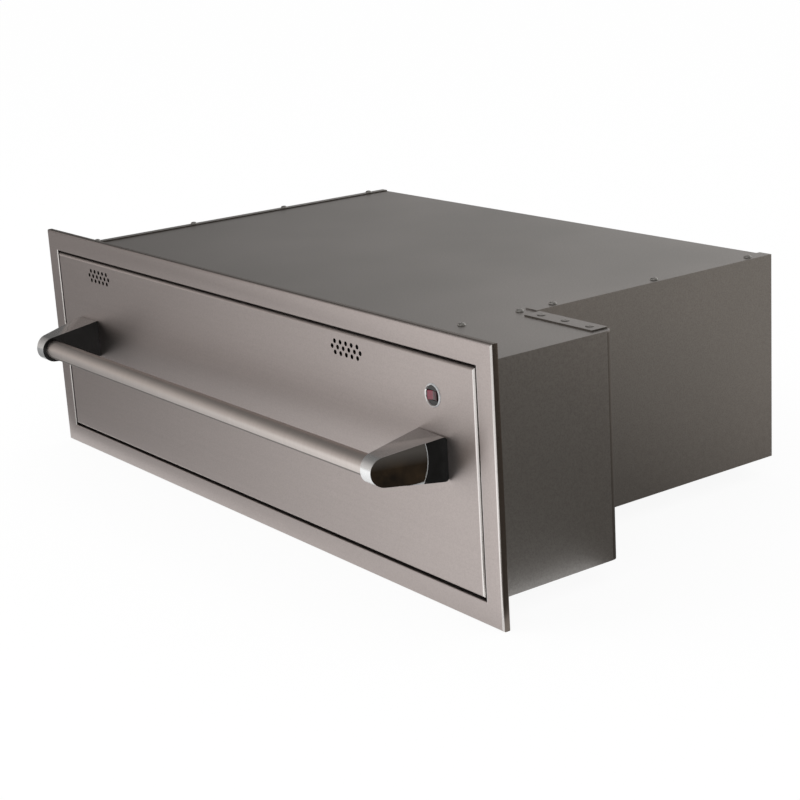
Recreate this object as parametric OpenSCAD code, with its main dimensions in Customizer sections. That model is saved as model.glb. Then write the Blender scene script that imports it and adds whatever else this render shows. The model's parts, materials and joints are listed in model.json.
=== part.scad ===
// Built in warming drawer: a steel casing with a control box on its right,
// a trim frame that seats on the cabinet front, and an insulated drawer on
// three part ball slides. X runs to the right as seen from the front, Y into
// the cabinet and Z up. The origin is on the underside of the casing, midway
// across, in the plane where the back of the trim frame meets the cabinet.

/* [Trim frame] */
// Width of the trim frame
trim_w = 914; // [860:1:1100]
// Height of the trim frame
trim_h = 286; // [270:1:330]
// Depth of the trim frame, front face to cabinet
trim_d = 9; // [7:0.5:14]
// Width of the frame's front face
trim_face = 24.5; // [20:0.5:32]
// Sheet thickness of the trim frame
trim_t = 1.5; // [1:0.1:2]
// Width of the lip that lies on the cabinet
trim_lip = 10; // [6:0.5:14]
// Bend radius of the frame's front edges
trim_bend_r = 3; // [1:0.5:4]

/* [Casing] */
// Depth of the casing behind the cabinet front
box_depth = 517; // [490:1:640]
// Sheet thickness of the casing
wall_t = 1.5; // [1:0.1:2]
// Width of the control box beside the oven cavity
side_box_w = 115.4; // [100:0.1:130]
// Depth of the control box behind the cabinet front
side_box_depth = 165; // [150:1:230]
// Outer radius of the control box's rear corner
side_box_bend_r = 9; // [4:0.5:14]
// Width of the left wall's top flange
left_flange = 10.5; // [9.5:0.5:20]
// Width of the right wall's top flange
right_flange = 18; // [12:0.5:21]
// Width of the flange over the rear edge of the control box
rear_flange = 21; // [14:0.5:30]

/* [Casing rivets] */
// Diameter of a rivet's domed head
rivet_head_d = 9; // [6:0.5:9.5]
// Height of a rivet's domed head
rivet_head_h = 2.8; // [1.5:0.1:4]
// Height of the flat heads on the control box's flange
flat_head_h = 0.9; // [0.5:0.1:2]
// Diameter of a rivet's shank
rivet_d = 4; // [3:0.1:5]
// Distance from a flange's end to its last rivet
rivet_end = 29.5; // [15:0.5:45]
// Spacing of the three rivets on the control box's flange
rear_rivet_pitch = 36.5; // [20:0.5:40]
// Spacing of the two rivets over the inner wall of the control box
front_rivet_pitch = 77; // [40:1:100]
// Distance of those two rivets from the inner wall's outer face
front_rivet_inset = 15; // [8:0.5:18]

/* [Oven cavity] */
// Thickness of the insulation round the cavity
insulation_t = 22; // [15:0.5:25]
// Sheet thickness of the cavity's liner
liner_t = 1.2; // [0.8:0.1:2]
// Gap between the back of the drawer front and the casing's front wall
seal_gap = 5; // [4:0.5:8]

/* [Drawer front] */
// Thickness of the drawer front
front_t = 24; // [22:0.5:30]
// Sheet thickness of the drawer front's skin
skin_t = 1.5; // [1:0.1:2]
// Gap round the drawer front inside the trim frame
reveal = 3; // [2:0.1:5]
// Bend radius of the skin's front edges
front_bend_r = 3; // [1:0.5:4]
// Thickness of the drawer front's inner panel
inner_t = 1.2; // [0.8:0.1:2]
// Width of the sealing strip
gasket_w = 10; // [6:0.5:12]

/* [Vents] */
// Diameter of a vent hole
vent_d = 5.1; // [3:0.1:6]
// Spacing of the vent holes along a row
vent_pitch = 10; // [8:0.1:12]
// Spacing of the rows
vent_row = 6; // [5.2:0.1:8]
// Vent holes in the middle row
vent_count = 6; // [3:1:8]
// Distance of the left vent's centre from the front's left edge
vent_left_inset = 108; // [60:1:200]
// Distance of the right vent's centre from the front's right edge
vent_right_inset = 209.5; // [130:1:300]
// Distance of the vents' middle row from the front's top edge
vent_drop = 18; // [14:0.5:22]

/* [Handle] */
// Diameter of the handle bar
bar_d = 22.5; // [18:0.5:28]
// Distance from the drawer front to the bar's centre
bar_reach = 61; // [45:0.5:80]
// Height of the bar above the middle of the drawer front
bar_rise = 13; // [-30:0.5:40]
// Height of the middle of a post's foot above the bar
foot_rise = 3; // [0:0.5:5]
// Radius of a post's rounded nose
nose_r = 15.5; // [14.5:0.5:20]
// Width of a post at its nose
nose_w = 18; // [14:0.5:28]
// Distance from the front's side edge to the inner side of a post's nose
post_inset = 86.5; // [60:0.5:140]
// Width of a post where it meets the front
foot_w = 45; // [30:0.5:50]
// Height of a post where it meets the front
foot_h = 46; // [36:0.5:60]
// How far a post's foot flares towards the middle
foot_flare = 5; // [0:0.5:10]
// Depth of the bar's seat in a post
bar_seat = 10; // [6:0.5:12]
// Diameter of a handle screw
screw_d = 6; // [4:0.5:8]
// Spacing of the two screws in a post
screw_pitch = 28; // [20:0.5:30]
// Length of a handle screw in its post
screw_bite = 16; // [8:0.5:24]
// Thickness of the plate behind a post
backer_t = 3; // [2:0.5:4]

/* [Power switch] */
// Outer diameter of the switch's polished ring
ring_d = 24.5; // [24:0.5:30]
// How far the ring stands proud of the front
ring_h = 2; // [1:0.1:3]
// Diameter of the switch's round body
switch_d = 20; // [19.5:0.1:22]
// Depth of the switch's body behind the front
switch_depth = 17; // [13:0.5:18]
// Distance of the switch's centre from the front's right edge
switch_inset = 65.5; // [45:0.5:90]
// Distance of the switch's centre from the front's top edge
switch_drop = 38.9; // [30:0.1:60]
// Length of the rocker
rocker_l = 14.4; // [12:0.1:15]
// Height of the rocker
rocker_h = 9.6; // [8:0.1:10]
// Angle between the rocker's two positions
rocker_swing = 16; // [8:1:20]

/* [Drawer pan] */
// Sheet thickness of the pan
pan_t = 1.2; // [0.8:0.1:2]
// Distance from the pan's rim to the cavity's back
pan_rear_gap = 31.3; // [20:0.1:60]
// Clear height under the pan, for the heating element
pan_lift = 34; // [28:0.5:40]
// Clear height over the pan
pan_gap = 12; // [8:0.5:20]
// Width of the pan's turned rim
pan_rim = 6; // [3:0.5:9]

/* [Slides] */
// Distance from the slides to the cavity's back
slide_rear_gap = 38.3; // [20:0.1:60]
// Height of a slide
slide_h = 45; // [40:0.5:55]
// Thickness of a closed slide
slide_w = 12.7; // [12.7:0.1:16]
// Sheet thickness of a slide member
slide_t = 1.2; // [1:0.1:1.5]
// Height of the slides' centre line over the pan's floor
slide_rise = 64; // [30:1:100]
// Distance from the casing's front wall to the front of a slide
slide_inset = 2.5; // [1:0.5:5]
// Diameter of a bearing ball
ball_d = 3.2; // [2.8:0.1:3.4]
// Balls in one row
ball_count = 6; // [3:1:8]
// Spacing of the balls
ball_pitch = 20; // [10:1:22]
// Sheet thickness of a ball cage
cage_t = 0.8; // [0.5:0.1:0.9]

/* [Heating] */
// Diameter of the heating element's tube
tube_d = 8.5; // [6:0.5:10]
// Height of the tube's centre over the cavity floor
tube_rise = 16; // [12:0.5:18]
// Radius of the element's bends
tube_bend = 48; // [40:1:50]
// Distance from the cavity's left wall to the element's bends
tube_left_inset = 60; // [40:1:120]
// Distance of the element's first leg from the casing's front wall
tube_front_inset = 70; // [40:1:80]
// Distance between the element's two ends
tube_end_gap = 46; // [42:1:56]
// Radius of the bends of the element's return leg
tube_corner = 20; // [16:1:21]
// How far the element's ends reach into the control box
tube_stub = 24; // [16:1:40]

/* [Electrical fittings] */
// Bore of the cord's gland
gland_bore_d = 9; // [7:0.5:11]
// Outer diameter of the gland
gland_d = 18; // [15:0.5:22]
// Height of the gland's centre above the casing's underside
gland_z = 50; // [30:1:90]
// Length of the terminal block
block_l = 62; // [40:1:80]
// Diameter of the thermostat's body
stat_d = 16; // [12:0.5:20]
// Diameter of the holes that screw the casing down
floor_hole_d = 5; // [4:0.5:7]
// Distance of those two holes from the casing's sides
floor_hole_inset = 134; // [60:1:250]

/* [Hidden] */
$fn = 64;

// Overrun of a cut past the face it opens
over = 2;
// Running gap between pieces that move past each other
run_gap = 0.3;
// Gap between a fastener and its hole
fit_gap = 0.1;
// Radial running clearance of the rocker's pins
pin_gap = 0.05;

// Casing
opening_w = trim_w - 2 * trim_face;
opening_h = trim_h - 2 * trim_face;
box_w = opening_w + 2 * wall_t;
box_h = opening_h + 2 * wall_t;
box_x = box_w / 2;
trim_z = wall_t - trim_face;
face_y = -trim_d;
wall_y = face_y + trim_t;
right_x = box_x - side_box_w;
right_in = right_x - wall_t;
left_in = -box_x + wall_t;
roof_z = box_h - wall_t;

// Drawer front
front_w = opening_w - 2 * reveal;
front_h = opening_h - 2 * reveal;
front_x = front_w / 2;
front_z = wall_t + reveal;
front_top = front_z + front_h;
front_back = face_y + front_t;
inner_y = front_back - inner_t;
skin_back = face_y + skin_t;

// Oven cavity
bulk_y = front_back + seal_gap;
bulk_back = bulk_y + wall_t;
cav_left = left_in + insulation_t + liner_t;
cav_right = right_in - insulation_t - liner_t;
cav_floor = wall_t + insulation_t + liner_t;
cav_roof = roof_z - insulation_t - liner_t;
cav_back = box_depth - wall_t - insulation_t - liner_t;
liner_left = cav_left - liner_t;
liner_right = cav_right + liner_t;
liner_floor = cav_floor - liner_t;
liner_roof = cav_roof + liner_t;
liner_back = cav_back + liner_t;

// Drawer pan and slides
pan_left = cav_left + slide_w;
pan_right = cav_right - slide_w;
pan_floor = cav_floor + pan_lift;
pan_top = cav_roof - pan_gap;
pan_back = cav_back - pan_rear_gap - pan_rim;
slide_y = bulk_back + slide_inset;
slide_l = cav_back - slide_rear_gap - slide_y;
slide_z = pan_floor + slide_rise;
// Shares of a slide's height that the middle and the inner member take
mid_share = 0.78;
inner_share = 0.56;
mid_h = slide_h * mid_share;
core_h = slide_h * inner_share;
// Places across a slide, as shares of its thickness
mid_web_share = 0.24;
core_lip_share = 0.5;
mid_web = slide_w * mid_web_share;
core_lip = slide_w * core_lip_share;
ball_x = (core_lip + slide_w - slide_t) / 2 - slide_t / 2;

// Rivets on the casing's top
right_rivet_pitch = (box_depth - side_box_depth - 2 * rivet_end) / 2;
last_rivet = box_depth - rivet_end;
left_rivets = [for (y = [last_rivet : -right_rivet_pitch : rivet_end]) [-box_x + left_flange / 2, y]];
right_rivets = [for (i = [0 : 2]) [right_x - right_flange / 2, last_rivet - i * right_rivet_pitch]];
strip_left = right_x + side_box_bend_r / 2;
strip_right = box_x - side_box_bend_r;
strip_mid = (strip_left + strip_right) / 2;
strip_y = side_box_depth - rear_flange / 2;
rear_rivets = [for (i = [-1 : 1]) [strip_mid + i * rear_rivet_pitch, strip_y]];
front_rivets = [for (i = [0 : 1]) [right_x - front_rivet_inset, strip_y - i * front_rivet_pitch]];
rivet_grip = 2 * wall_t;

// Handle
bar_y = face_y - bar_reach;
bar_z = front_z + front_h / 2 + bar_rise;
foot_z = bar_z + foot_rise;
post_x = front_x - post_inset;
foot_x = post_x - foot_flare;
foot_mid = foot_x + foot_w / 2;
nose_reach = bar_reach + nose_r;
head_d = 2 * screw_d;
head_h = screw_d / 2;

// Switch
switch_x = front_x - switch_inset;
switch_z = front_top - switch_drop;
ring_t = (ring_d - switch_d) / 2;
rocker_pivot = 2.4;
rocker_pin_d = 2;
rocker_pin_l = 1.6;
rocker_side_gap = 0.3;
rocker_end_gap = 1;
window_l = rocker_l + 2 * rocker_end_gap;
window_h = rocker_h + 2 * rocker_side_gap;
pocket_depth = 7;
spade_w = 4.8;
spade_t = 0.8;

// Heating element
tube_r = tube_d / 2;
tube_z = cav_floor + tube_rise;
tube_y = bulk_back + tube_front_inset;
tube_left = cav_left + tube_left_inset + tube_bend;
return_x = cav_right - tube_corner - liner_t;
tube_right = return_x - tube_bend - 2 * tube_d;
tube_end_x = right_x + tube_stub;
bushing_wall = 2;
bushing_brim = 3;
bushing_flange_t = 4;
bushing_r = tube_r + bushing_wall;
bushing_flange_r = bushing_r + bushing_brim;

// Control box
cover_head_d = 8;
cover_head_h = 2.4;
cover_shank_d = 4;
cover_inset = 12;
cover_nut = 10;
cover_nut_t = 6;
box_mid_x = (right_x + box_x - wall_t) / 2;
stat_z = (cav_floor + cav_roof) / 2;
stat_y = side_box_depth / 2;

// A box between two opposite corners
module span(lo, hi) {
  translate(lo) cube(hi - lo);
}

// A bar with round ends square to X, Y or Z, from a point along one axis
module rod_x(p, l, r) {
  translate(p) rotate([0, 90, 0]) cylinder(h = l, r = r);
}

module rod_y(p, l, r) {
  translate(p) rotate([-90, 0, 0]) cylinder(h = l, r = r);
}

// A rectangle whose two front corners are round, front edge on Y = 0
module bent_outline(w, d, r) {
  translate([r, 0]) square([w - 2 * r, d]);
  translate([0, r]) square([w, d - r]);
  for (x = [r, w - r]) translate([x, r]) circle(r = r);
}

// A slab with all four front edges bent to a radius
module bent_slab(w, h, d, r) {
  intersection() {
    translate([-w / 2, 0, 0]) linear_extrude(height = h) bent_outline(w, d, r);
    translate([-w / 2, 0, 0]) rotate([90, 0, 90]) linear_extrude(height = w)
      side_outline(d, h, r);
  }
}

// The same outline seen from the side: depth along X, height along Y
module side_outline(d, h, r) {
  translate([0, r]) square([d, h - 2 * r]);
  translate([r, 0]) square([d - r, h]);
  for (z = [r, h - r]) translate([r, z]) circle(r = r);
}

// The casing's plan: the oven box with the control box at its front right
module casing_plan(inset_rear, y0) {
  translate([left_in, y0]) square([right_in - left_in, box_depth - y0]);
  translate([left_in, y0]) square([box_x - left_in, side_box_depth - side_box_bend_r - y0]);
  translate([left_in, y0]) square([box_x - side_box_bend_r - left_in, side_box_depth - y0 - inset_rear]);
  translate([box_x - side_box_bend_r, side_box_depth - side_box_bend_r]) circle(r = side_box_bend_r);
}

module rivet_holes(places) {
  for (p = places) translate([p.x, p.y, roof_z - over])
    cylinder(h = rivet_grip + 2 * over, r = rivet_d / 2 + fit_gap);
}

// A frame of one width and height round another, along Y
module ring_plate(lo, hi, hole_lo, hole_hi) {
  difference() {
    span(lo, hi);
    span([hole_lo.x, lo.y - over, hole_lo.z], [hole_hi.x, hi.y + over, hole_hi.z]);
  }
}

// Trim frame: a folded channel with a lip that lies on the cabinet
module trim_frame() {
  color("#b3ada8") translate([0, face_y, trim_z]) difference() {
    bent_slab(trim_w, trim_h, trim_d, trim_bend_r);
    span([-opening_w / 2, -over, trim_face], [opening_w / 2, trim_d + over, trim_face + opening_h]);
    span([-trim_w / 2 + trim_t, trim_t, trim_t],
         [trim_w / 2 - trim_t, trim_d - trim_t, trim_h - trim_t]);
    span([-trim_w / 2 + trim_lip, trim_t, trim_lip],
         [trim_w / 2 - trim_lip, trim_d + over, trim_h - trim_lip]);
  }
}

// Casing
module top_panel() {
  color("#7d7a76") difference() {
    translate([0, 0, roof_z]) linear_extrude(height = wall_t) difference() {
      casing_plan(0, wall_y);
      translate([strip_left, side_box_depth - wall_t])
        square([strip_right - strip_left, wall_t + over]);
    }
    rivet_holes(concat(left_rivets, right_rivets, rear_rivets, front_rivets));
  }
}

module bottom_panel() {
  color("#6b6864") difference() {
    linear_extrude(height = wall_t) {
      casing_plan(0, wall_y);
      translate([-box_x, wall_y]) square([box_w - side_box_w, box_depth - wall_y]);
    }
    for (s = [-1, 1]) translate([s * (box_x - floor_hole_inset), bulk_y / 2, -over])
      cylinder(h = wall_t + 2 * over, r = floor_hole_d / 2);
  }
}

module left_wall() {
  color("#6b6864") difference() {
    union() {
      span([-box_x, wall_y, wall_t], [left_in, box_depth, box_h + wall_t]);
      span([-box_x, 0, box_h], [-box_x + left_flange, box_depth, box_h + wall_t]);
    }
    rivet_holes(left_rivets);
  }
}

module right_wall() {
  color("#6b6864") difference() {
    union() {
      span([right_in, bulk_back, wall_t], [right_x, side_box_depth, roof_z]);
      span([right_in, side_box_depth, wall_t], [right_x, box_depth, box_h + wall_t]);
      span([right_x - right_flange, side_box_depth, box_h], [right_x, box_depth, box_h + wall_t]);
      span([right_x - right_flange, bulk_back, roof_z - wall_t], [right_x, side_box_depth, roof_z]);
    }
    rivet_holes(concat(right_rivets, front_rivets));
    tube_ways(bushing_r + fit_gap);
    rod_x([right_in - over, stat_y, stat_z], wall_t + 2 * over, stat_d / 2 + over);
  }
}

module rear_wall() {
  color("#6b6864") span([left_in, box_depth - wall_t, wall_t], [right_in, box_depth, roof_z]);
}

// Outer side, round corner and rear of the control box in one sheet
module side_box_wall() {
  corner = [box_x - side_box_bend_r, side_box_depth - side_box_bend_r];
  color("#5c5853") difference() {
    union() {
      span([box_x - wall_t, wall_y, wall_t], [box_x, corner.y, roof_z]);
      translate([corner.x, corner.y, wall_t]) rotate_extrude(angle = 90)
        translate([side_box_bend_r - wall_t, 0]) square([wall_t, roof_z - wall_t]);
      span([right_x, side_box_depth - wall_t, wall_t], [corner.x, side_box_depth, roof_z]);
      span([strip_left, side_box_depth - wall_t, roof_z], [strip_right, side_box_depth, box_h + wall_t]);
      span([strip_left, side_box_depth - rear_flange, box_h], [strip_right, side_box_depth, box_h + wall_t]);
    }
    rivet_holes(rear_rivets);
    rod_y([box_mid_x, side_box_depth - wall_t - over, gland_z], wall_t + 2 * over, gland_d / 3 + fit_gap);
  }
}

// A domed head of one height, with its shank through the sheets under it
module pop_rivet(p, z, head_h) {
  dome_r = (rivet_head_d * rivet_head_d / 4 + head_h * head_h) / (2 * head_h);
  translate([p.x, p.y, z]) {
    intersection() {
      translate([0, 0, head_h - dome_r]) sphere(r = dome_r);
      cylinder(h = head_h, r = rivet_head_d / 2);
    }
    translate([0, 0, -rivet_grip]) cylinder(h = rivet_grip, r = rivet_d / 2);
  }
}

module pop_rivets() {
  color("#9b9894") {
    for (p = concat(left_rivets, right_rivets)) pop_rivet(p, box_h + wall_t, rivet_head_h);
    for (p = rear_rivets) pop_rivet(p, box_h + wall_t, flat_head_h);
    for (p = front_rivets) pop_rivet(p, box_h, rivet_head_h);
  }
}

// Front wall of the casing, behind the drawer front
module front_bulkhead() {
  color("#a8a39e")
    ring_plate([left_in, bulk_y, wall_t], [right_x, bulk_back, roof_z],
               [cav_left, bulk_y, cav_floor], [cav_right, bulk_back, cav_roof]);
}

// Screw places of the control box's cover
cover_places = [for (x = [right_x + cover_inset, box_x - wall_t - cover_inset],
                     z = [wall_t + cover_inset, roof_z - cover_inset]) [x, z]];

module control_cover() {
  color("#a8a39e") difference() {
    span([right_x, bulk_y, wall_t], [box_x - wall_t, bulk_back, roof_z]);
    for (p = cover_places)
      rod_y([p.x, bulk_y - over, p.y], wall_t + 2 * over, cover_shank_d / 2 + fit_gap);
  }
}

module cover_screws() {
  color("#c8c6c2") for (p = cover_places) difference() {
    union() {
      rod_y([p.x, bulk_y - cover_head_h, p.y], cover_head_h, cover_head_d / 2);
      rod_y([p.x, bulk_y, p.y], wall_t + cover_nut_t, cover_shank_d / 2);
    }
    for (a = [0, 90]) translate([p.x, bulk_y - cover_head_h, p.y]) rotate([0, a, 0])
      cube([cover_head_d / 2, cover_head_h, cover_head_d / 8], center = true);
  }
}

module cover_nuts() {
  color("#8d8a86") for (p = cover_places) difference() {
    span([p.x - cover_nut / 2, bulk_back, p.y - cover_nut / 2],
         [p.x + cover_nut / 2, bulk_back + cover_nut_t, p.y + cover_nut / 2]);
    rod_y([p.x, bulk_back - over, p.y], cover_nut_t + 2 * over, cover_shank_d / 2 + fit_gap);
  }
}

// Oven cavity
module liner() {
  color("#b9b6b2") difference() {
    span([liner_left, bulk_back, liner_floor], [liner_right, liner_back, liner_roof]);
    span([cav_left, bulk_back - over, cav_floor], [cav_right, cav_back, cav_roof]);
    tube_ways(tube_r + run_gap);
  }
}

module insulation_top() {
  color("#d8cfa8") span([left_in, bulk_back, liner_roof],
                        [right_x - right_flange, box_depth - wall_t, roof_z - rivet_grip / 2]);
}

module insulation_bottom() {
  color("#d8cfa8") span([left_in, bulk_back, wall_t], [right_in, box_depth - wall_t, liner_floor]);
}

module insulation_left() {
  color("#d8cfa8") span([left_in, bulk_back, liner_floor], [liner_left, liner_back, liner_roof]);
}

module insulation_right() {
  color("#d8cfa8") difference() {
    span([liner_right, bulk_back, liner_floor], [right_in, liner_back, liner_roof]);
    tube_ways(bushing_r + fit_gap);
    rod_x([liner_right - over, stat_y, stat_z], insulation_t + 2 * over, stat_d / 2 + over);
  }
}

module insulation_back() {
  color("#d8cfa8") span([left_in, liner_back, liner_floor], [right_in, box_depth - wall_t, liner_roof]);
}

// Heating element: four legs over the cavity floor and a return to its ends
module tube_ways(r) {
  for (y = [tube_y, tube_y + tube_end_gap])
    rod_x([cav_right - over, y, tube_z], right_x - cav_right + 2 * over, r);
}

module tube_bow(p, r, from, sweep) {
  translate([p.x, p.y, tube_z]) rotate([0, 0, from]) rotate_extrude(angle = sweep)
    translate([r, 0]) circle(r = tube_r);
}

module tube_leg(x0, x1, y) {
  rod_x([x0, y, tube_z], x1 - x0, tube_r);
}

leg_y = [for (i = [0 : 3]) tube_y + 2 * i * tube_bend];
end_y = tube_y + tube_end_gap;

module heating_element() {
  color("#4a4643") {
    tube_leg(tube_left, tube_end_x, leg_y[0]);
    tube_bow([tube_left, (leg_y[0] + leg_y[1]) / 2], tube_bend, 90, 180);
    tube_leg(tube_left, tube_right, leg_y[1]);
    tube_bow([tube_right, (leg_y[1] + leg_y[2]) / 2], tube_bend, -90, 180);
    tube_leg(tube_left, tube_right, leg_y[2]);
    tube_bow([tube_left, (leg_y[2] + leg_y[3]) / 2], tube_bend, 90, 180);
    tube_leg(tube_left, return_x - tube_corner, leg_y[3]);
    tube_bow([return_x - tube_corner, leg_y[3] - tube_corner], tube_corner, 0, 90);
    rod_y([return_x, end_y + tube_corner, tube_z], leg_y[3] - end_y - 2 * tube_corner, tube_r);
    tube_bow([return_x + tube_corner, end_y + tube_corner], tube_corner, 180, 90);
    tube_leg(return_x + tube_corner, tube_end_x, end_y);
  }
}

// Saddles that carry the element on the cavity floor
module element_clips() {
  clip_t = tube_r;
  clip_w = 2 * tube_d;
  color("#8d8a86") for (x = [tube_left, tube_right - tube_bend / 2], y = leg_y) difference() {
    span([x - clip_t / 2, y - clip_w / 2, cav_floor], [x + clip_t / 2, y + clip_w / 2, tube_z]);
    rod_x([x - clip_t, y, tube_z], 2 * clip_t, tube_r + fit_gap);
  }
}

module element_bushings() {
  color("#b08d57") for (y = [tube_y, end_y]) difference() {
    union() {
      rod_x([right_in - bushing_flange_t, y, tube_z], wall_t + bushing_flange_t, bushing_r);
      rod_x([right_x, y, tube_z], bushing_flange_t, bushing_flange_r);
    }
    rod_x([right_in - bushing_flange_t - over, y, tube_z],
          wall_t + 2 * bushing_flange_t + 2 * over, tube_r + fit_gap);
  }
}

module element_terminals() {
  color("#c8c6c2") for (y = [tube_y, end_y]) rod_x([tube_end_x, y, tube_z], 2 * tube_d, tube_r / 2);
}

// Control box
module snap_thermostat() {
  stat_l = stat_d * 0.6;
  blade = [stat_l, stat_d / 20, stat_d / 4];
  color("#3c3a38") {
    rod_x([liner_right, stat_y, stat_z], wall_t, stat_d / 2);
    rod_x([liner_right + wall_t, stat_y, stat_z], stat_l, stat_d * 0.45);
    for (s = [-1, 1])
      translate([liner_right + wall_t + stat_l + blade.x / 2, stat_y + s * stat_d / 4, stat_z])
        cube(blade, center = true);
  }
}

block_w = block_l * 0.36;
block_h = block_l * 0.3;
block_x = box_mid_x - block_w / 2;
block_y = (bulk_back + side_box_depth - block_l) / 2;

module terminal_block() {
  pole = block_l / 3;
  color("#d9d5cc") difference() {
    span([block_x, block_y, wall_t], [block_x + block_w, block_y + block_l, wall_t + block_h]);
    for (i = [0 : 2], s = [0, 1]) translate([block_x + block_w * (0.25 + 0.5 * s),
                                            block_y + pole * (i + 0.5), wall_t + block_h / 2])
      cylinder(h = block_h, r = block_w / 8);
  }
}

module earth_stud() {
  stud_r = block_w / 8;
  stud_y = block_y + block_l + block_w / 2;
  color("#b08d57") {
    translate([block_x + stud_r, stud_y, wall_t]) cylinder(h = block_h, r = stud_r);
    translate([block_x + stud_r, stud_y, wall_t + stud_r]) difference() {
      cylinder(h = 2 * stud_r, r = 2 * stud_r, $fn = 6);
      translate([0, 0, -over]) cylinder(h = 2 * stud_r + 2 * over, r = stud_r);
    }
  }
}

module cord_gland() {
  gland_l = gland_d;
  nut_t = gland_d / 4;
  neck_r = gland_d / 3;
  color("#2b2a29") difference() {
    union() {
      rod_y([box_mid_x, side_box_depth - wall_t - nut_t, gland_z], nut_t, gland_d / 2);
      rod_y([box_mid_x, side_box_depth - wall_t, gland_z], wall_t, neck_r);
      rod_y([box_mid_x, side_box_depth, gland_z], nut_t, gland_d / 2);
      rod_y([box_mid_x, side_box_depth + nut_t, gland_z], gland_l - nut_t, neck_r * 1.15);
    }
    rod_y([box_mid_x, side_box_depth - wall_t - nut_t - over, gland_z],
          gland_l + wall_t + nut_t + 2 * over, gland_bore_d / 2);
  }
}

// Drawer front
vent_x = [-front_x + vent_left_inset, front_x - vent_right_inset];

module vent_row_holes(n, y, z, depth) {
  for (x = vent_x, i = [0 : n - 1]) rod_y([x + (i - (n - 1) / 2) * vent_pitch, y, z], depth, vent_d / 2);
}

handle_screw_places = [for (s = [-1, 1], t = [-1, 1]) [s * foot_mid, foot_z + t * screw_pitch / 2]];

module handle_screw_ways(y, depth) {
  for (p = handle_screw_places) rod_y([p.x, y, p.y], depth, screw_d / 2 + fit_gap);
}

module pan_screw_ways(y, depth, r) {
  for (p = pan_screw_places) rod_y([p.x, y, p.y], depth, r);
}

module front_skin() {
  color("#a8a29c") difference() {
    translate([0, face_y, front_z]) bent_slab(front_w, front_h, front_t, front_bend_r);
    span([-front_x + skin_t, skin_back, front_z + skin_t],
         [front_x - skin_t, front_back + over, front_top - skin_t]);
    for (row = [-1 : 1])
      vent_row_holes(vent_count - abs(row), face_y - over, front_top - vent_drop + row * vent_row,
                     skin_t + 2 * over);
    handle_screw_ways(face_y - over, skin_t + 2 * over);
    rod_y([switch_x, face_y - over, switch_z], skin_t + 2 * over, switch_d / 2 + fit_gap);
  }
}

module front_inner_panel() {
  color("#b9b6b2") difference() {
    span([-front_x + skin_t, inner_y, front_z + skin_t], [front_x - skin_t, front_back, front_top - skin_t]);
    vent_row_holes(vent_count, inner_y - over, (pan_top + cav_roof) / 2, inner_t + 2 * over);
    pan_screw_ways(inner_y - over, inner_t + 2 * over, cover_shank_d / 2 + fit_gap);
  }
}

// Fills the hollow between the handle's posts and below the vents
module front_insulation() {
  pad_x = foot_mid - foot_w / 2 - 2 * over;
  color("#d8cfa8") difference() {
    span([-pad_x, skin_back, front_z + skin_t], [min(pad_x, cav_right), inner_y, front_top - 2 * vent_drop]);
    pan_screw_ways(skin_back - over, front_t + over, cover_shank_d);
  }
}

module front_gasket() {
  gap = gasket_w / 4;
  color("#1f1e1d")
    ring_plate([cav_left - gap - gasket_w, front_back, cav_floor - gap - gasket_w],
               [cav_right + gap + gasket_w, bulk_y - run_gap, cav_roof + gap + gasket_w],
               [cav_left - gap, front_back, cav_floor - gap], [cav_right + gap, bulk_y, cav_roof + gap]);
}

// Handle
module handle_bar() {
  bar_half = post_x + bar_seat;
  color("#bdb7b1") rod_x([-bar_half, bar_y, bar_z], 2 * bar_half, bar_d / 2);
}

// Where the tangent from a foot's corner at this height touches the round nose
function nose_touch(height) =
  let (lean = atan2(height, -bar_reach) - acos(nose_r / norm([bar_reach, height])))
  [bar_reach, 0] + nose_r * [cos(lean), sin(lean)];

// Side view of a post behind its round nose: straight tangents to the foot
module post_outline() {
  top = foot_h / 2 + foot_rise;
  bottom = foot_h / 2 - foot_rise;
  upper = nose_touch(top);
  lower = nose_touch(bottom);
  polygon([[0, top], upper, [lower.x, -lower.y], [0, -bottom]]);
}

// Plan of a post, wide at the foot and narrow at the nose
module post_plan() {
  polygon([[foot_x, 0], [foot_x + foot_w, 0], [post_x + nose_w, -nose_reach], [post_x, -nose_reach]]);
}

module handle_post(side) {
  color("#8f8a85") mirror([side < 0 ? 1 : 0, 0, 0]) difference() {
    intersection() {
      union() {
        translate([foot_x - over, face_y, bar_z]) rotate([90, 0, 90]) mirror([1, 0])
          linear_extrude(height = foot_w + 2 * over) post_outline();
        rod_x([foot_x - over, bar_y, bar_z], foot_w + 2 * over, nose_r);
      }
      translate([0, face_y, foot_z - foot_h]) linear_extrude(height = 2 * foot_h) post_plan();
    }
    rod_x([post_x - over, bar_y, bar_z], bar_seat + over, bar_d / 2 + fit_gap);
    for (t = [-1, 1]) rod_y([foot_mid, face_y - screw_bite, foot_z + t * screw_pitch / 2],
                            screw_bite + over, screw_d / 2 + fit_gap);
  }
}

module handle_post_left() {
  handle_post(-1);
}

module handle_post_right() {
  handle_post(1);
}

module handle_backers() {
  color("#8d8a86") for (s = [-1, 1]) difference() {
    span([s * foot_mid - foot_w / 2, skin_back, foot_z - foot_h / 2],
         [s * foot_mid + foot_w / 2, skin_back + backer_t, foot_z + foot_h / 2]);
    handle_screw_ways(skin_back - over, backer_t + 2 * over);
  }
}

module handle_screws() {
  color("#c8c6c2") for (p = handle_screw_places) {
    rod_y([p.x, face_y - screw_bite, p.y], screw_bite + skin_t + backer_t, screw_d / 2);
    rod_y([p.x, skin_back + backer_t, p.y], head_h, head_d / 2);
  }
}

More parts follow.
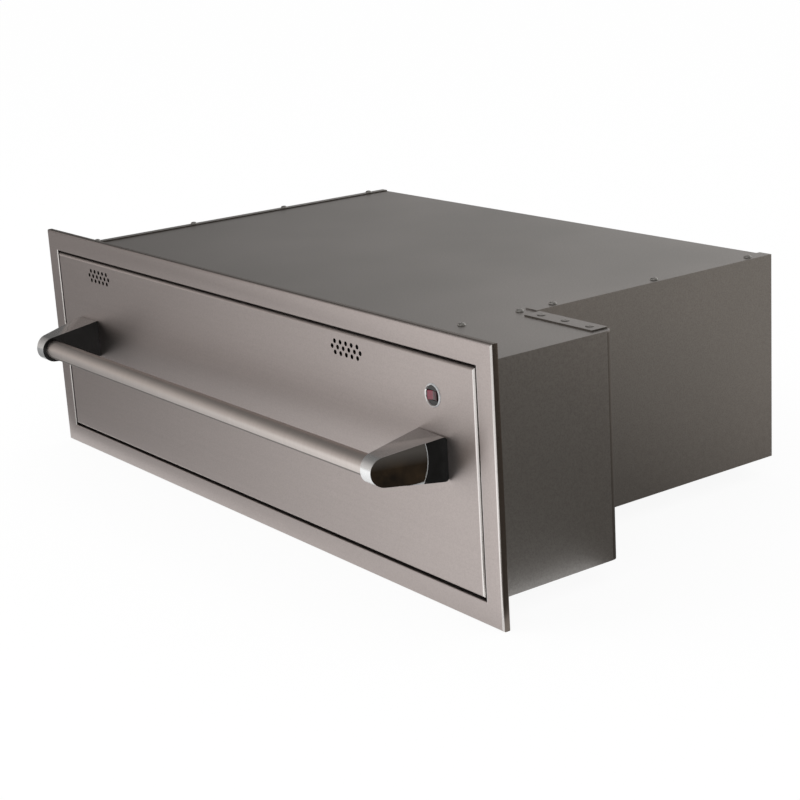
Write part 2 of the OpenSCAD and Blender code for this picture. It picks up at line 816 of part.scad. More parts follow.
// Power switch
module switch_ring() {
  w = ring_t - fit_gap;
  color("#d6d3cf") translate([switch_x, face_y, switch_z]) rotate([90, 0, 0]) rotate_extrude()
    translate([switch_d / 2 + fit_gap, 0])
      polygon([[0, 0], [w, 0], [w, ring_h / 2], [w * 0.7, ring_h], [w * 0.3, ring_h], [0, ring_h / 2]]);
}

module switch_housing() {
  lid = ring_h / 2;
  color("#1c1b1b") {
    difference() {
      rod_y([switch_x, face_y - lid, switch_z], switch_depth + lid, switch_d / 2);
      span([switch_x - window_l / 2, face_y - lid - over, switch_z - window_h / 2],
           [switch_x + window_l / 2, face_y + pocket_depth, switch_z + window_h / 2]);
      translate([switch_x, face_y + rocker_pivot, switch_z - window_h / 2 - rocker_pin_l])
        cylinder(h = window_h + 2 * rocker_pin_l, r = rocker_pin_d / 2 + pin_gap);
    }
    for (x = [switch_x - switch_d / 4, switch_x + switch_d / 4])
      span([x - spade_t / 2, face_y + switch_depth, switch_z - spade_w / 2],
           [x + spade_t / 2, inner_y - run_gap, switch_z + spade_w / 2]);
  }
}

// Two faces in a shallow V on round side pins, left half standing out
module switch_rocker() {
  tip = ring_h + rocker_pivot + rocker_pivot / 4;
  dip = ring_h / 2 + rocker_pivot;
  belly = pocket_depth - 2 * rocker_pivot;
  half = rocker_l / 2;
  color("#b3202c") translate([switch_x, face_y + rocker_pivot, switch_z - rocker_h / 2])
    rotate([0, 0, rocker_swing / 2]) {
      linear_extrude(height = rocker_h)
        polygon([[-half, -tip], [0, -dip], [half, -tip], [half * 0.9, 0], [0, belly], [-half * 0.9, 0]]);
      translate([0, 0, -rocker_pin_l]) cylinder(h = rocker_h + 2 * rocker_pin_l, r = rocker_pin_d / 2);
    }
}

// Drawer pan: a bottom and four walls, welded at their edges
wall_foot = pan_floor + pan_t;
pan_screw_places = [for (i = [-1 : 1], z = [pan_floor + pan_lift / 2, pan_top - pan_lift / 2])
  [(pan_left + pan_right) / 2 + i * (pan_right - pan_left) * 0.36, z]];

module pan_bottom() {
  color("#bdbab6") span([pan_left, front_back, pan_floor], [pan_right, pan_back, wall_foot]);
}

module pan_front_wall() {
  color("#bdbab6") difference() {
    span([pan_left, front_back, wall_foot], [pan_right, front_back + pan_t, pan_top]);
    pan_screw_ways(front_back - over, pan_t + 2 * over, cover_shank_d / 2 + fit_gap);
  }
}

module pan_back_wall() {
  color("#bdbab6") {
    span([pan_left, pan_back - pan_t, wall_foot], [pan_right, pan_back, pan_top]);
    span([pan_left, pan_back - pan_t, pan_top - pan_t], [pan_right, pan_back + pan_rim, pan_top]);
  }
}

// A side wall with its rim turned out, drawn for the left
module pan_side_wall() {
  color("#bdbab6") {
    span([pan_left, front_back + pan_t, wall_foot], [pan_left + pan_t, pan_back - pan_t, pan_top]);
    difference() {
      span([pan_left - pan_rim, front_back, pan_top - pan_t], [pan_left + pan_t, pan_back + pan_rim, pan_top]);
      span([pan_left, front_back - over, pan_floor], [pan_left + pan_t + over, front_back + pan_t, pan_top + over]);
      span([pan_left, pan_back - pan_t, pan_floor], [pan_left + pan_t + over, pan_back + pan_rim + over, pan_top + over]);
    }
  }
}

module pan_left_wall() {
  pan_side_wall();
}

module pan_right_wall() {
  translate([pan_left + pan_right, 0, 0]) mirror([1, 0, 0]) pan_side_wall();
}

module pan_screws() {
  color("#c8c6c2") for (p = pan_screw_places) {
    rod_y([p.x, inner_y - cover_head_d / 2, p.y], inner_t + pan_t + cover_head_d / 2, cover_shank_d / 2);
    rod_y([p.x, front_back + pan_t, p.y], cover_head_h, cover_head_d / 2);
  }
}

// Slides, drawn for the left side: X from the cavity wall towards the pan
module slide_channel(x0, x1, h, web_first) {
  web_x = web_first ? x0 : x1 - slide_t;
  translate([0, slide_y, slide_z]) {
    span([web_x, 0, -h / 2], [web_x + slide_t, slide_l, h / 2]);
    for (s = [-1, 1]) span([x0, 0, s * (h / 2 - slide_t / 2) - slide_t / 2],
                           [x1, slide_l, s * (h / 2 - slide_t / 2) + slide_t / 2]);
  }
}

module slide_outer() {
  color("#9a9895") slide_channel(0, slide_w - slide_t - 2 * run_gap, slide_h, true);
}

module slide_mid() {
  color("#a5a3a0") slide_channel(mid_web, slide_w - slide_t - run_gap, mid_h, true);
}

module slide_inner() {
  color("#b0aeab") slide_channel(core_lip, slide_w, core_h, false);
}

// A folded strip from one row of balls to the other, with the balls it spaces
module ball_cage(web_x, row_z) {
  cage_l = ball_count * ball_pitch;
  cage_lip = ball_x + ball_d * 0.4 - web_x;
  color("#d8d5d0") translate([web_x, slide_y + (slide_l - cage_l) / 2, slide_z]) {
    span([0, 0, -row_z], [cage_t, cage_l, row_z]);
    for (s = [-1, 1]) translate([0, 0, s * row_z]) {
      span([0, 0, -cage_t / 2], [cage_lip, cage_l, cage_t / 2]);
      for (i = [0 : ball_count - 1]) translate([ball_x - web_x, (i + 0.5) * ball_pitch, 0])
        sphere(r = ball_d / 2);
    }
  }
}

module outer_cage() {
  ball_cage(slide_t + run_gap, (slide_h / 2 - slide_t + mid_h / 2) / 2);
}

module inner_cage() {
  ball_cage(mid_web + slide_t + run_gap, (mid_h / 2 - slide_t + core_h / 2) / 2);
}

module at_left() {
  translate([cav_left, 0, 0]) children();
}

module at_right() {
  translate([cav_right, 0, 0]) mirror([1, 0, 0]) children();
}

module slide_outer_left() {
  at_left() slide_outer();
}

module slide_outer_right() {
  at_right() slide_outer();
}

module slide_mid_left() {
  at_left() slide_mid();
}

module slide_mid_right() {
  at_right() slide_mid();
}

module slide_inner_left() {
  at_left() slide_inner();
}

module slide_inner_right() {
  at_right() slide_inner();
}

module cage_outer_left() {
  at_left() outer_cage();
}

module cage_outer_right() {
  at_right() outer_cage();
}

module cage_inner_left() {
  at_left() inner_cage();
}

module cage_inner_right() {
  at_right() inner_cage();
}

trim_frame();
top_panel();
bottom_panel();
left_wall();
right_wall();
rear_wall();
side_box_wall();
front_bulkhead();
control_cover();
cover_screws();
cover_nuts();
liner();
insulation_top();
insulation_bottom();
insulation_left();
insulation_right();
insulation_back();
pop_rivets();
slide_outer_left();
slide_outer_right();
heating_element();
element_clips();
element_bushings();
element_terminals();
snap_thermostat();
terminal_block();
earth_stud();
cord_gland();
front_skin();
front_inner_panel();
front_insulation();
front_gasket();
handle_bar();
handle_post_left();
handle_post_right();
handle_backers();
handle_screws();
switch_ring();
switch_housing();
switch_rocker();
pan_bottom();
pan_front_wall();
pan_back_wall();
pan_left_wall();
pan_right_wall();
pan_screws();
slide_inner_left();
slide_inner_right();
slide_mid_left();
slide_mid_right();
cage_outer_left();
cage_outer_right();
cage_inner_left();
cage_inner_right();
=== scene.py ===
import math
import bmesh
import bpy
from mathutils import Matrix, Vector
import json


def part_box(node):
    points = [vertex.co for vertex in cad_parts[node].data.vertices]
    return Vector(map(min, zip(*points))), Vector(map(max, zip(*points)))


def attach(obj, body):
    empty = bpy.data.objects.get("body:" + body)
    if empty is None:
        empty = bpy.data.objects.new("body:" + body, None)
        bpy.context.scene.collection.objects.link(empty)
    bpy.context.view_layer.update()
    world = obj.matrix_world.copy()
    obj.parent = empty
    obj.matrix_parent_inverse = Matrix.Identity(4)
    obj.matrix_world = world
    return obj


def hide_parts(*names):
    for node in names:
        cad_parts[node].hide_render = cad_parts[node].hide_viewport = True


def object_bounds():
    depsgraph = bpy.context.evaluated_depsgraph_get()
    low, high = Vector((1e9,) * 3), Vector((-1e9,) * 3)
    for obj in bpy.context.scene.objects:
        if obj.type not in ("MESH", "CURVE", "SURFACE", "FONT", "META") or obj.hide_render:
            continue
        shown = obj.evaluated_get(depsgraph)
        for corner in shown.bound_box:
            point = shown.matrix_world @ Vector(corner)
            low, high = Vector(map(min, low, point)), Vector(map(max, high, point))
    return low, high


# Built in warming drawer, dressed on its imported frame.
# X runs right as seen from the front, Y into the cabinet, Z up, in metres.
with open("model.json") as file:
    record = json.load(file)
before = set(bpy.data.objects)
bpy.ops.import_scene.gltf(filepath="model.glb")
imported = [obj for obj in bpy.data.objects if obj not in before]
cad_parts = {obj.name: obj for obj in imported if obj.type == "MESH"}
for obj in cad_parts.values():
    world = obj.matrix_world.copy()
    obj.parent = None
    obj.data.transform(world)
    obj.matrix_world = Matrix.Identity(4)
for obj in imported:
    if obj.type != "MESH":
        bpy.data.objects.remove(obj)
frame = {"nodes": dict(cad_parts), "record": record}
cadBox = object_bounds()
nodes = frame["nodes"]
bodyOf = {node: body for body, members in frame["record"]["behaviour"]["bodies"].items() for node in members}
scene = bpy.context.scene
mm = 0.001          # the sizes in the pieces' dictionaries are in millimetres
print("frame loaded")


# Meshes

weldReach = 1e-6    # points nearer than this become one
onAxis = 1e-9       # a smaller radius lies on the axis of turning


def inMetres(look, *names):
    return [look[name] * mm for name in names]


def addObject(name, data):
    thing = bpy.data.objects.new(name, data)
    scene.collection.objects.link(thing)
    return thing


def makePiece(name, verts, faces, body, materials, faceMaterials=None, smoothAngle=40):
    mesh = bpy.data.meshes.new(name)
    mesh.from_pydata([tuple(v) for v in verts], [], faces)
    for material in materials:
        mesh.materials.append(material)
    if faceMaterials:
        for polygon, index in zip(mesh.polygons, faceMaterials):
            polygon.material_index = index
    bm = bmesh.new()
    bm.from_mesh(mesh)
    bmesh.ops.remove_doubles(bm, verts=bm.verts, dist=weldReach)
    bmesh.ops.recalc_face_normals(bm, faces=bm.faces)
    bm.to_mesh(mesh)
    bm.free()
    for polygon in mesh.polygons:
        polygon.use_smooth = True
    mesh.set_sharp_from_angle(angle=math.radians(smoothAngle))
    piece = addObject(name, mesh)
    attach(piece, body)
    return piece


def roundEdges(piece, width, angle, segments=3):
    bevel = piece.modifiers.new("roundEdges", "BEVEL")
    bevel.width = width
    bevel.segments = segments
    bevel.limit_method = "ANGLE"
    bevel.angle_limit = math.radians(angle)
    bevel.harden_normals = True
    bevel.miter_outer = "MITER_ARC"


def arcPoints(centre, radius, start, end, count):
    # points on an arc, angles in degrees
    return [(centre[0] + radius * math.cos(math.radians(start + (end - start) * i / count)),
             centre[1] + radius * math.sin(math.radians(start + (end - start) * i / count)))
            for i in range(count + 1)]


# from Z to the axis that a profile is turned round
turnTo = {"z": Matrix.Identity(4), "x": Matrix.Rotation(math.radians(90), 4, "Y"),
          "-y": Matrix.Rotation(math.radians(90), 4, "X")}


def turned(profile, place, axis, segments):
    # a closed profile of (radius, height) turned round an axis that starts at place
    verts, faces = [], []
    n = len(profile)
    for i in range(segments):
        a = 2 * math.pi * i / segments
        for r, h in profile:
            verts.append(Vector(place) + turnTo[axis] @ Vector((r * math.cos(a), r * math.sin(a), h)))
    for i in range(segments):
        j = (i + 1) % segments
        for k in range(n):
            m = (k + 1) % n
            if profile[k][0] > onAxis or profile[m][0] > onAxis:
                faces.append((i * n + k, j * n + k, j * n + m, i * n + m))
    return verts, faces


def addTo(verts, faces, more):
    base = len(verts)
    verts.extend(more[0])
    faces.extend(tuple(base + i for i in f) for f in more[1])


# Materials

# detail and roughness of each kind of noise
noiseKinds = {"fine": (4, 0.7), "broad": (3, 0.6), "cloud": (3, 0.55), "speck": (2, 0.6),
              "mottle": (4, 0.6), "skin": (2, 0.6)}
noiseSpan = (0.3, 0.7)      # where a noise's values mostly lie
speckSpan = (0.4, 0.65)     # narrower, so that specks have clear edges
whole = (0.0, 1.0)          # all of a share


def newMaterial(name, settings):
    material = bpy.data.materials.new(name)
    material.use_nodes = True
    tree = material.node_tree
    shader = tree.nodes["Principled BSDF"]
    for socket, value in settings.items():
        shader.inputs[socket].default_value = value
    return material, tree, shader


def placeOn(tree):
    return tree.nodes.new("ShaderNodeTexCoord").outputs["Object"]


def noiseOf(tree, kind, scale, stretch=(1, 1, 1)):
    mapping = tree.nodes.new("ShaderNodeMapping")
    mapping.inputs["Scale"].default_value = stretch
    noise = tree.nodes.new("ShaderNodeTexNoise")
    noise.inputs["Scale"].default_value = scale
    noise.inputs["Detail"].default_value, noise.inputs["Roughness"].default_value = noiseKinds[kind]
    tree.links.new(placeOn(tree), mapping.inputs["Vector"])
    tree.links.new(mapping.outputs["Vector"], noise.inputs["Vector"])
    return noise.outputs["Fac"]


def ranged(tree, value, span, newSpan):
    node = tree.nodes.new("ShaderNodeMapRange")
    for socket, limit in zip(("From Min", "From Max", "To Min", "To Max"), (*span, *newSpan)):
        node.inputs[socket].default_value = limit
    tree.links.new(value, node.inputs["Value"])
    return node.outputs["Result"]


def blended(tree, share, a, b):
    node = tree.nodes.new("ShaderNodeMix")
    node.data_type = "RGBA"
    tree.links.new(share, node.inputs["Factor"])
    for socket, colour in ((node.inputs[6], a), (node.inputs[7], b)):
        if isinstance(colour, tuple):
            socket.default_value = (*colour, 1)
        else:
            tree.links.new(colour, socket)
    return node.outputs[2]


def combined(tree, a, b, operation="ADD"):
    node = tree.nodes.new("ShaderNodeMath")
    node.operation = operation
    for socket, value in ((node.inputs[0], a), (node.inputs[1], b)):
        if isinstance(value, float):
            socket.default_value = value
        else:
            tree.links.new(value, socket)
    return node.outputs[0]


def bumped(tree, shader, height, strength, distance):
    bump = tree.nodes.new("ShaderNodeBump")
    bump.inputs["Strength"].default_value = strength
    bump.inputs["Distance"].default_value = distance
    tree.links.new(height, bump.inputs["Height"])
    tree.links.new(bump.outputs["Normal"], shader.inputs["Normal"])


# a noise's scale on each axis, small along the grain
grainAlong = {"x": (1, 60, 60), "z": (60, 60, 1), "none": (30, 30, 30), "round": (60, 2, 2)}
grainTangent = {"x": (0, 0, 1), "z": (1, 0, 0)}     # gloss spreads across the grain
steelBasis = {"fineScale": 26, "broadScale": 5, "cloudScale": 3.5, "speckScale": 420, "fineShare": 0.5,
              "cloudShare": 0.35, "speckShare": 0.1, "speckBump": 0.5, "depth": 0.0004, "sheenAlong": 0.0}


def brushedSteel(name, look):
    # sheet steel with fine parallel grain, faint clouds and handling marks
    look = {"spread": look["grain"], "speck": look["dark"], **steelBasis, **look}
    sheenAlong = look["sheenAlong"] if look["spread"] in grainTangent else 0.0
    material, tree, shader = newMaterial(name, {"Metallic": 1.0, "Anisotropic": sheenAlong})
    along, vary = grainAlong[look["grain"]], look["roughVary"]
    fine = noiseOf(tree, "fine", look["fineScale"], along)
    broad = noiseOf(tree, "broad", look["broadScale"], along)
    clouds = noiseOf(tree, "cloud", look["cloudScale"])
    speck = noiseOf(tree, "speck", look["speckScale"])
    streaks = combined(tree, combined(tree, fine, look["fineShare"], "MULTIPLY"),
                       combined(tree, broad, 1 - look["fineShare"], "MULTIPLY"))
    colour = blended(tree, ranged(tree, streaks, noiseSpan, whole), look["dark"], look["light"])
    tinted = blended(tree, ranged(tree, clouds, noiseSpan, (0.0, look["cloudShare"])), colour, look["cloud"])
    specked = blended(tree, ranged(tree, speck, speckSpan, (0.0, look["speckShare"])), tinted, look["speck"])
    tree.links.new(specked, shader.inputs["Base Color"])
    rough = combined(tree, ranged(tree, streaks, noiseSpan, (look["rough"] - vary, look["rough"] + vary)),
                     ranged(tree, clouds, noiseSpan, (-vary, vary)))
    tree.links.new(rough, shader.inputs["Roughness"])
    relief = combined(tree, streaks, combined(tree, speck, look["speckBump"], "MULTIPLY"))
    bumped(tree, shader, relief, look["bump"], look["depth"])
    if sheenAlong > 0:
        tangent = tree.nodes.new("ShaderNodeCombineXYZ")
        for i, v in enumerate(grainTangent[look["spread"]]):
            tangent.inputs[i].default_value = v
        tree.links.new(tangent.outputs[0], shader.inputs["Tangent"])
    return material


finishBasis = {"ior": 1.5, "coat": 0.0, "coatRough": 0.08, "fuzz": 0.0, "stretch": (1, 1, 1),
               "depth": 0.0003}


def plainFinish(name, look):
    # cast, plated or moulded surfaces: mottled colour, uneven gloss and a fine skin
    look = {**finishBasis, **look}
    material, tree, shader = newMaterial(name, {
        "Metallic": look["metallic"], "IOR": look["ior"], "Coat Weight": look["coat"],
        "Coat Roughness": look["coatRough"], "Sheen Weight": look["fuzz"]})
    mottle = noiseOf(tree, "mottle", look["mottleScale"])
    fine = noiseOf(tree, "skin", look["skinScale"], look["stretch"])
    colour = blended(tree, ranged(tree, mottle, noiseSpan, whole), look["dark"], look["light"])
    if "fade" in look:      # the colour turns into another one over a range of heights
        split = tree.nodes.new("ShaderNodeSeparateXYZ")
        tree.links.new(placeOn(tree), split.inputs[0])
        colour = blended(tree, ranged(tree, split.outputs["Z"], look["fade"], whole), colour, look["fadeTo"])
    tree.links.new(colour, shader.inputs["Base Color"])
    vary = look["roughVary"]
    rough = combined(tree, ranged(tree, mottle, noiseSpan, (look["rough"] - vary, look["rough"])),
                     ranged(tree, fine, noiseSpan, (0.0, vary)))
    tree.links.new(rough, shader.inputs["Roughness"])
    bumped(tree, shader, fine, look["bump"], look["depth"])
    return material


frontSteel = {"grain": "x", "light": (0.48, 0.428, 0.408), "dark": (0.432, 0.382, 0.365),
              "cloud": (0.445, 0.398, 0.384), "speck": (0.33, 0.29, 0.275), "speckShare": 0.35,
              "speckScale": 700, "rough": 0.39, "roughVary": 0.02, "bump": 0.008, "sheenAlong": 0.74}
# painted shade: the trim's returns and the drawer front's sides, much darker than the face
returnSteel = dict(frontSteel, grain="none", light=(0.18, 0.152, 0.133), dark=(0.14, 0.118, 0.10),
                   cloud=(0.16, 0.135, 0.116), rough=0.28, speckShare=0.1)
# painted highlight: paler, glossier steel on the bends where highlights fall
edgeSteel = dict(frontSteel, grain="none", light=(0.66, 0.63, 0.61), dark=(0.60, 0.57, 0.55),
                 cloud=(0.63, 0.60, 0.58), rough=0.24, roughVary=0.004, speckShare=0.0, bump=0.0)

steelLooks = {
    "brushedFrontSteel": frontSteel,
    "brushedStileSteel": dict(frontSteel, grain="z", spread="x"),
    "returnPaintedShadeSteel": returnSteel,
    "paintedHighlightEdge": edgeSteel,
    "topEdgeSteel": dict(edgeSteel, light=(0.50, 0.45, 0.43), dark=(0.46, 0.41, 0.39),
                         cloud=(0.48, 0.43, 0.41), rough=0.5),
    # painted shade on the casing's corner bend
    "casingBendPaintedShade": dict(returnSteel, light=(0.20, 0.185, 0.17), dark=(0.16, 0.15, 0.138),
                            cloud=(0.18, 0.167, 0.154), rough=0.4),
    # painted shade along the bar's underside
    "barUndersidePaintedShade": dict(edgeSteel, light=(0.20, 0.18, 0.165), dark=(0.16, 0.14, 0.13),
                         cloud=(0.18, 0.16, 0.147), rough=0.5),
    "casingSteel": {"grain": "none", "light": (0.42, 0.40, 0.385), "dark": (0.33, 0.312, 0.296),
                    "cloud": (0.36, 0.355, 0.342), "speck": (0.23, 0.22, 0.21), "speckShare": 0.45,
                    "speckScale": 600, "cloudShare": 0.6, "rough": 0.36, "roughVary": 0.04, "bump": 0.10},
    "brushedBarSteel": {"grain": "round", "light": (0.60, 0.55, 0.52), "dark": (0.52, 0.47, 0.44),
                        "cloud": (0.56, 0.51, 0.48), "rough": 0.36, "roughVary": 0.03, "bump": 0.02,
                        "fineScale": 20, "cloudScale": 30, "cloudShare": 0.6},
    "linerSteel": dict(frontSteel, light=(0.5, 0.49, 0.48), dark=(0.42, 0.41, 0.40),
                       cloud=(0.46, 0.45, 0.44), rough=0.3, sheenAlong=0.0),
    "satinPostSteel": {"grain": "none", "light": (0.73, 0.735, 0.735), "dark": (0.68, 0.685, 0.685),
                       "cloud": (0.66, 0.665, 0.66), "rough": 0.27, "roughVary": 0.004, "bump": 0.0,
                       "fineScale": 12, "cloudScale": 20, "speckShare": 0.0},
}

zincLook = {"metallic": 1.0, "light": (0.48, 0.48, 0.49), "dark": (0.38, 0.38, 0.4), "rough": 0.34,
            "roughVary": 0.08, "mottleScale": 90, "skinScale": 600, "bump": 0.12}
barLo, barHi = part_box("handle_bar")
barMiddle = (barLo + barHi) / 2
plainLooks = {
    # near black and glossy, on the posts' sides
    "blackGlossSide": {"metallic": 0.0, "light": (0.008, 0.008, 0.008), "dark": (0.004, 0.004, 0.004),
                    "ior": 1.36, "rough": 0.16, "roughVary": 0.03, "mottleScale": 80, "skinScale": 900,
                    "bump": 0.02},
    # painted reflection: paler above the bar's middle, and brown mottles
    "darkCheekPaintedReflection": {"metallic": 1.0, "light": (0.16, 0.115, 0.075), "dark": (0.035, 0.034, 0.033),
                          "fade": (barMiddle.z + 2 * mm, barMiddle.z + 16 * mm),
                          "fadeTo": (0.34, 0.33, 0.32), "rough": 0.1, "roughVary": 0.03,
                          "mottleScale": 34, "skinScale": 900, "bump": 0.02},
    "polishedChrome": {"metallic": 1.0, "light": (0.72, 0.71, 0.7), "dark": (0.62, 0.61, 0.6), "rough": 0.13,
                       "roughVary": 0.04, "mottleScale": 120, "skinScale": 900, "bump": 0.02},
    # painted highlight: partly diffuse pale grey standing for the glint on the posts' rims and the switch
    # ring
    "rimPaintedHighlight": {"metallic": 0.6, "light": (0.60, 0.61, 0.62), "dark": (0.54, 0.55, 0.56), "rough": 0.5,
                  "roughVary": 0.05, "mottleScale": 120, "skinScale": 900, "bump": 0.02},
    # painted shade on the edges of the flanges over the top panel
    "flangeEdgePaintedShade": {"metallic": 1.0, "light": (0.26, 0.24, 0.22), "dark": (0.19, 0.175, 0.16), "rough": 0.42,
                    "roughVary": 0.08, "mottleScale": 160, "skinScale": 900, "bump": 0.1},
    "rivetSteel": {"metallic": 1.0, "light": (0.46, 0.45, 0.43), "dark": (0.34, 0.33, 0.315), "rough": 0.24,
                   "roughVary": 0.06, "mottleScale": 240, "skinScale": 1500, "bump": 0.15},
    "zincPlatedFastener": dict(zincLook, light=(0.55, 0.55, 0.54)),
    "slideZinc": zincLook,
    "ballCageZinc": dict(zincLook, light=(0.6, 0.6, 0.6), dark=(0.5, 0.5, 0.5), rough=0.22),
    "heatedSheath": {"metallic": 0.8, "light": (0.12, 0.1, 0.09), "dark": (0.05, 0.045, 0.04), "rough": 0.5,
                     "roughVary": 0.12, "mottleScale": 40, "skinScale": 500, "bump": 0.2},
    "turnedBrass": {"metallic": 1.0, "light": (0.58, 0.42, 0.2), "dark": (0.42, 0.29, 0.13), "rough": 0.28,
                    "roughVary": 0.08, "mottleScale": 120, "skinScale": 900, "bump": 0.1},
    "blackMoulding": {"metallic": 0.0, "light": (0.022, 0.02, 0.019), "dark": (0.01, 0.01, 0.01),
                      "ior": 1.38, "rough": 0.24, "roughVary": 0.06, "mottleScale": 200,
                      "skinScale": 2500, "bump": 0.1},
    "paleMoulding": {"metallic": 0.0, "light": (0.66, 0.63, 0.56), "dark": (0.56, 0.53, 0.47), "rough": 0.5,
                     "roughVary": 0.1, "mottleScale": 120, "skinScale": 1500, "bump": 0.1},
    "redRocker": {"metallic": 0.0, "light": (0.2, 0.02, 0.045), "dark": (0.13, 0.012, 0.026), "coat": 0.3,
                  "rough": 0.16, "roughVary": 0.04, "mottleScale": 150, "skinScale": 2500, "bump": 0.06},
    "shadedRocker": {"metallic": 0.0, "light": (0.06, 0.022, 0.028), "dark": (0.04, 0.014, 0.018),
                     "coat": 0.3, "rough": 0.3, "roughVary": 0.05, "mottleScale": 150,
                     "skinScale": 2500, "bump": 0.06},
    "sealingRubber": {"metallic": 0.0, "light": (0.03, 0.03, 0.03), "dark": (0.016, 0.016, 0.016),
                      "rough": 0.7, "roughVary": 0.12, "mottleScale": 90, "skinScale": 900, "bump": 0.4},
    "mineralWool": {"metallic": 0.0, "light": (0.62, 0.55, 0.34), "dark": (0.42, 0.35, 0.18), "fuzz": 0.3,
                    "rough": 0.95, "roughVary": 0.05, "mottleScale": 60, "skinScale": 260, "bump": 0.9,
                    "depth": 0.002, "stretch": (1, 1, 4)},
}
finish = {name: brushedSteel(name, look) for name, look in steelLooks.items()}
finish.update({name: plainFinish(name, look) for name, look in plainLooks.items()})
print("materials ready")


# Trim frame: one folded channel, mitred at its corners

trimLook = {"reveal": 3.0, "bend": 3.0, "lipBend": 2.0, "innerEdge": 1.2, "sheet": 1.5, "lip": 10.0,
            "arcSteps": 6, "insideSteps": 3, "dullSteps": 3}


def buildTrim():
    lo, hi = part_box("trim_frame")
    depth = (hi.y - lo.y) / mm
    face = (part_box("front_skin")[0].x - lo.x) / mm - trimLook["reveal"]
    t, bend, lipBend, edge = (trimLook[k] for k in ("sheet", "bend", "lipBend", "innerEdge"))
    steps, inside, dull = (trimLook[k] for k in ("arcSteps", "insideSteps", "dullSteps"))
    # section in mm as (out from the opening, back from the front face)
    # kinds are 0 face, 1 bend, 2 side; only the first half of the outer bend counts as bend
    section = [(0, t), (0, edge)]
    section += arcPoints((edge, edge), edge, 180, 270, steps)[1:]
    kinds = [1] * (len(section) - 1) + [0]
    section += arcPoints((face - bend, bend), bend, -90, 0, steps)
    kinds += [0] + [1] * (steps - dull) + [2] * dull
    section += arcPoints((face - lipBend, depth - lipBend), lipBend, 0, 90, steps)
    section += [(face - trimLook["lip"], depth), (face - trimLook["lip"], depth - t)]
    section += arcPoints((face - lipBend, depth - lipBend), lipBend - t, 90, 0, inside)
    section += arcPoints((face - bend, bend), bend - t, 0, -90, inside)
    kinds += [2] * (len(section) - len(kinds))
    # the finish of each kind on a rail and on a stile: only the stiles' bends get a painted highlight, and
    # the sides of both get painted shade
    slots = ((0, 0, 3), (1, 2, 3))
    corners = [(-1, -1), (1, -1), (1, 1), (-1, 1)]
    inner = {-1: (lo.x + face * mm, lo.z + face * mm), 1: (hi.x - face * mm, hi.z - face * mm)}
    verts, faces, marks = [], [], []
    n = len(section)
    # rails run along X and stiles along Z, each with its own points at the mitres
    for side in range(4):
        base = len(verts)
        for right, up in (corners[side], corners[(side + 1) % 4]):
            for out, back in section:
                verts.append((inner[right][0] + right * out * mm, lo.y + back * mm,
                              inner[up][1] + up * out * mm))
        for k in range(n):
            m = (k + 1) % n
            faces.append((base + k, base + n + k, base + n + m, base + m))
            marks.append(slots[side % 2][kinds[k]])
    piece = makePiece("trim_channel", verts, faces, "casing",
                      [finish["brushedFrontSteel"], finish["brushedStileSteel"], finish["paintedHighlightEdge"],
                       finish["returnPaintedShadeSteel"]], marks)
    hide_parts("trim_frame")


buildTrim()


# Handle posts: satin top and nose, black sides, dark chrome cheeks with a painted reflection cut back from a
# curved shoulder, and a rim with a painted highlight

postLook = {"noseRadius": 15.5, "noseShift": 5.0, "noseWidth": 18.0, "cheekDepth": 1.1, "shoulderTop": 21.5,
            "shoulderMid": 19.8, "shoulderBottom": 25.0, "wedgeStart": 15, "wedgeReach": 42.0,
            "footCorner": 3.5, "edge": 0.7, "edgeAngle": 28, "smooth": 30,
            "noseSteps": 26, "cornerSteps": 4, "shoulderSteps": 16, "wedgeSteps": 8}


